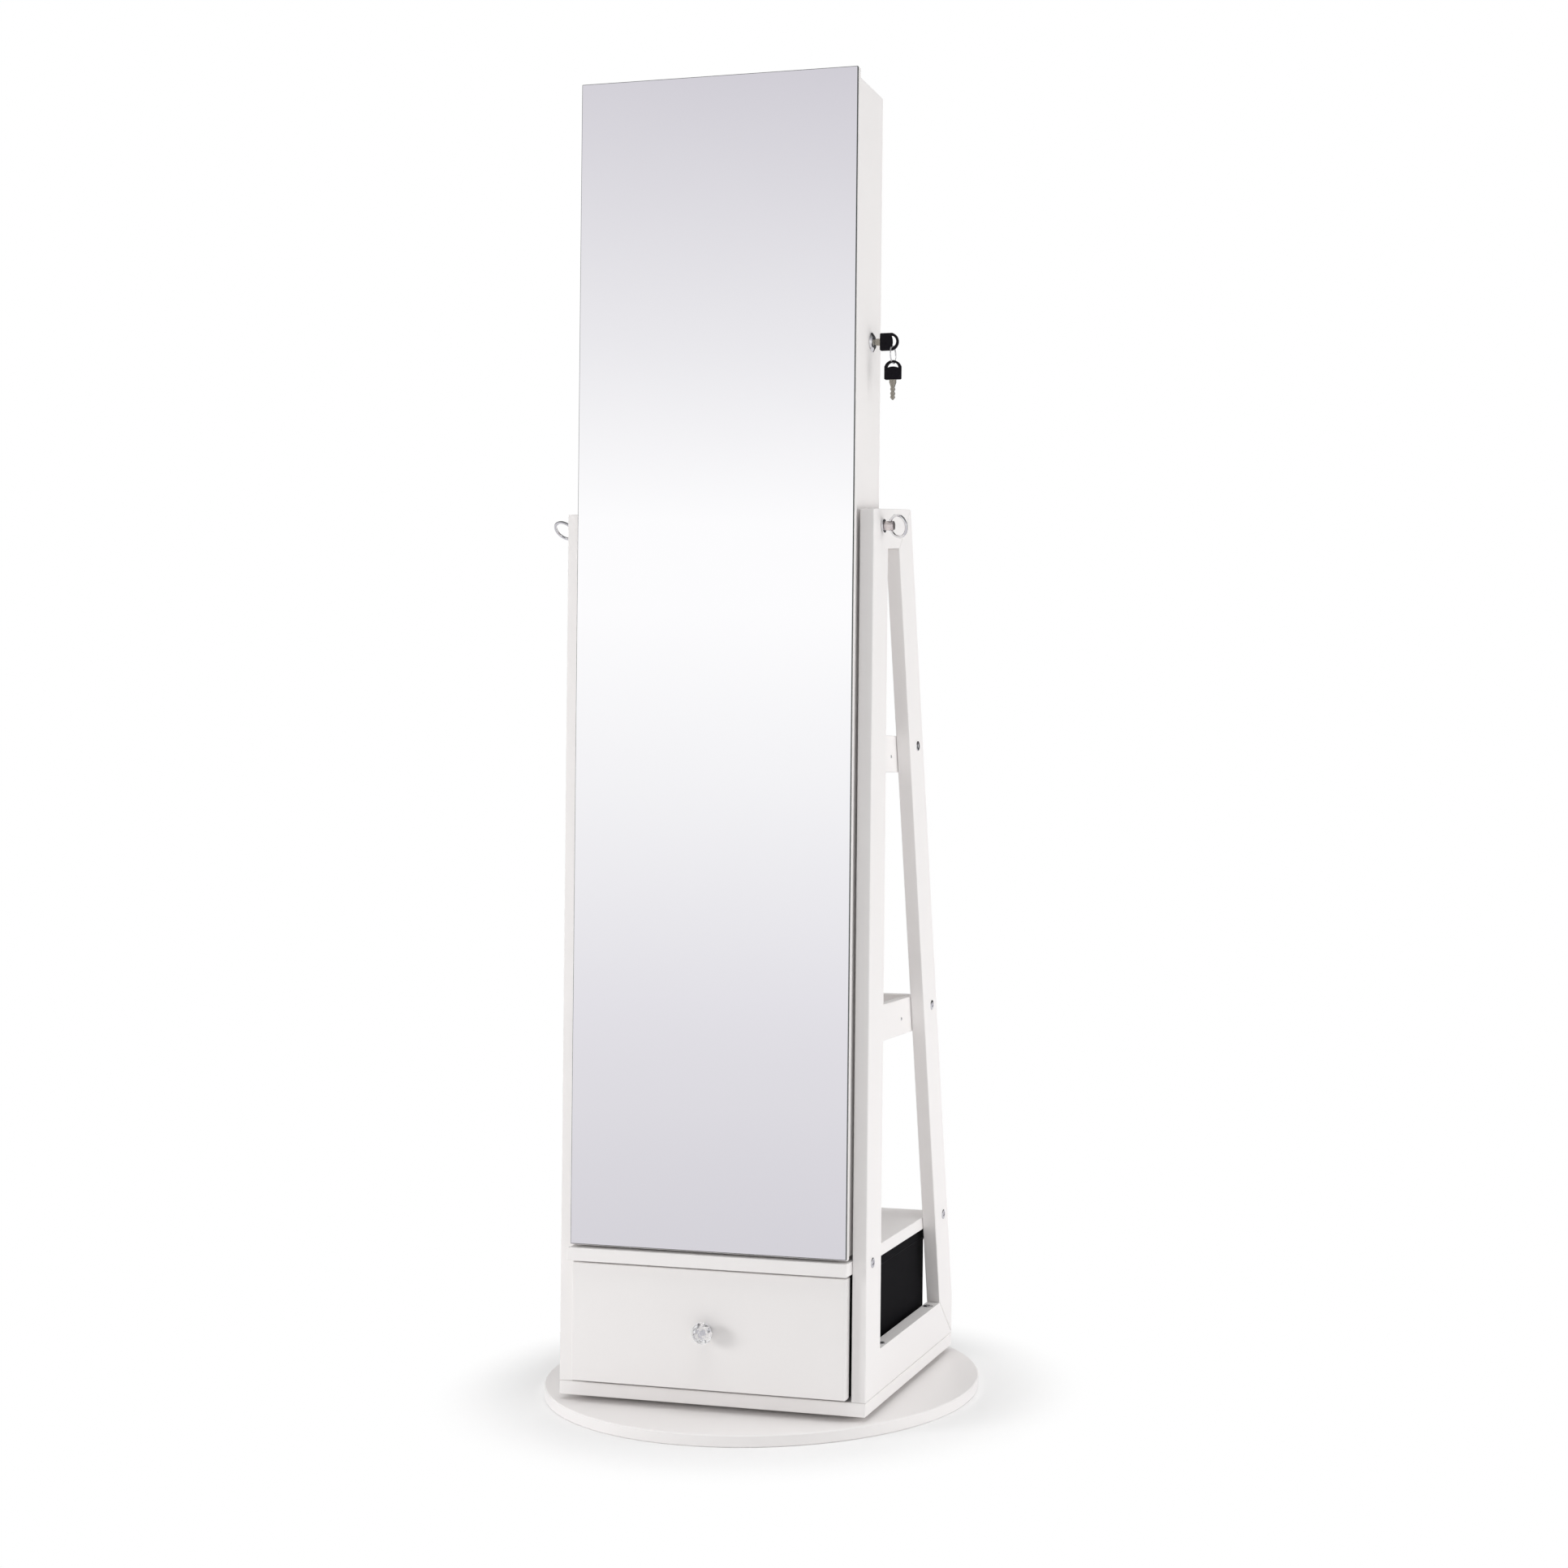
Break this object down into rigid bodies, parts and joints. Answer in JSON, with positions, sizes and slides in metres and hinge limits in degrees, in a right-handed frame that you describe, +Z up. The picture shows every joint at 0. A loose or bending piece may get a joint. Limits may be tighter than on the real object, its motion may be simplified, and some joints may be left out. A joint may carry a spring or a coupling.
{
  "type": "jewelry cabinet",
  "caption": "Tall white swivel jewelry cabinet: locking mirror door on a tilting velvet-lined body, slanted side frames with rear trays, a fabric drawer and a round turning base.",
  "frame": {"origin": "middle of the round base's underside, on the floor", "axes": "+Z up, the mirror faces -Y, +X to the right of someone looking at the mirror"},
  "size_m": [0.56, 0.56, 1.65],
  "materials": {
    "white_board": "white satin melamine on board",
    "black_fabric": "matt woven fabric on card",
    "black_velvet": "black flocked velvet",
    "clear_acrylic": "clear faceted",
    "chrome": "bright plated",
    "bearing_steel": "zinc plated",
    "silvered_glass": "silvered float glass",
    "white_nylon": "moulded nylon",
    "black_plastic": "fine moulded grain"
  },
  "bodies": {
    "base": {"base_disc": "white_board", "swivel_lower_plate": "bearing_steel"},
    "bearing_balls": {"swivel_ball_ring": "bearing_steel"},
    "frame": {"swivel_upper_plate": "bearing_steel", "bottom_board": "white_board", "left_side_frame": "white_board", "right_side_frame": "white_board", "left_rear_stile": "white_board", "right_rear_stile": "white_board", "drawer_top_board": "white_board", "upper_tray_front": "white_board", "upper_tray_back": "white_board", "upper_tray_left": "white_board", "upper_tray_right": "white_board", "upper_tray_floor": "white_board", "middle_tray_front": "white_board", "middle_tray_back": "white_board", "middle_tray_left": "white_board", "middle_tray_right": "white_board", "middle_tray_floor": "white_board", "left_tilt_washer": "chrome", "right_tilt_washer": "chrome", "left_tilt_spacer": "white_nylon", "right_tilt_spacer": "white_nylon"},
    "drawer": {"drawer_front": "white_board", "drawer_box": "black_fabric", "drawer_knob": "clear_acrylic", "drawer_knob_screw": "chrome"},
    "cabinet": {"cabinet_left_wall": "white_board", "cabinet_right_wall": "white_board", "cabinet_top": "white_board", "cabinet_bottom": "white_board", "cabinet_back": "white_board", "cabinet_lining": "black_velvet", "lower_shelf": "black_velvet", "upper_shelf": "black_velvet", "ring_cushion": "black_velvet", "necklace_rail": "white_board", "earring_panel": "black_velvet", "lower_hinge_body_leaf": "chrome", "upper_hinge_body_leaf": "chrome", "lock_barrel": "chrome"},
    "door": {"door_panel": "white_board", "door_mirror": "silvered_glass", "door_lining": "black_velvet", "lock_strike": "bearing_steel", "lower_hinge_door_leaf": "chrome", "upper_hinge_door_leaf": "chrome"},
    "lock": {"lock_plug": "chrome", "lock_cam": "bearing_steel", "key_blade": "chrome", "key_bow": "black_plastic"},
    "spare_keys": {"key_ring": "chrome", "spare_key_blade": "chrome", "spare_key_bow": "black_plastic"},
    "left_bolt": {"left_tilt_bolt": "chrome"},
    "right_bolt": {"right_tilt_bolt": "chrome"},
    "left_ring": {"left_tilt_ring": "chrome"},
    "right_ring": {"right_tilt_ring": "chrome"}
  },
  "joints": [
    {"name": "base_swivel", "type": "hinge", "parent": "base", "child": "frame", "pos_m": [0, 0, 0.015], "axis": [0, 0, 1], "continuous": true},
    {"name": "ball_ring_roll", "type": "hinge", "parent": "base", "child": "bearing_balls", "pos_m": [0, 0, 0.015], "axis": [0, 0, 1], "continuous": true},
    {"name": "drawer_slide", "type": "slide", "parent": "frame", "child": "drawer", "axis": [0, -1, 0], "range_m": [0, 0.24]},
    {"name": "cabinet_tilt", "type": "hinge", "parent": "frame", "child": "cabinet", "pos_m": [0, -0.15, 1.102], "axis": [-1, 0, 0], "range_deg": [0, 10]},
    {"name": "door_swing", "type": "hinge", "parent": "cabinet", "child": "door", "pos_m": [-0.1818, -0.1883, 0.212], "axis": [0, 0, -1], "range_deg": [0, 95]},
    {"name": "lock_turn", "type": "hinge", "parent": "cabinet", "child": "lock", "pos_m": [0.1785, -0.134, 1.33], "axis": [-1, 0, 0], "range_deg": [0, 90]},
    {"name": "spare_key_swing", "type": "hinge", "parent": "lock", "child": "spare_keys", "pos_m": [0.20601, -0.134, 1.32462], "axis": [0, 1, 0], "range_deg": [-60, 20]},
    {"name": "right_bolt_turn", "type": "hinge", "parent": "cabinet", "child": "right_bolt", "pos_m": [0.2005, -0.15, 1.102], "axis": [1, 0, 0], "range_deg": [-90, 90]},
    {"name": "left_bolt_turn", "type": "hinge", "parent": "cabinet", "child": "left_bolt", "pos_m": [-0.2005, -0.15, 1.102], "axis": [-1, 0, 0], "range_deg": [-90, 90]},
    {"name": "right_ring_swing", "type": "hinge", "parent": "right_bolt", "child": "right_ring", "pos_m": [0.2101, -0.15, 1.102], "axis": [0, -0.2588, 0.9659], "range_deg": [-55, 105]},
    {"name": "left_ring_swing", "type": "hinge", "parent": "left_bolt", "child": "left_ring", "pos_m": [-0.2101, -0.15, 1.102], "axis": [0, -0.7071, 0.7071], "range_deg": [-70, 90]}
  ],
  "couplings": [
    {"joint": "ball_ring_roll", "follows": "base_swivel", "ratio": 0.5}
  ]
}
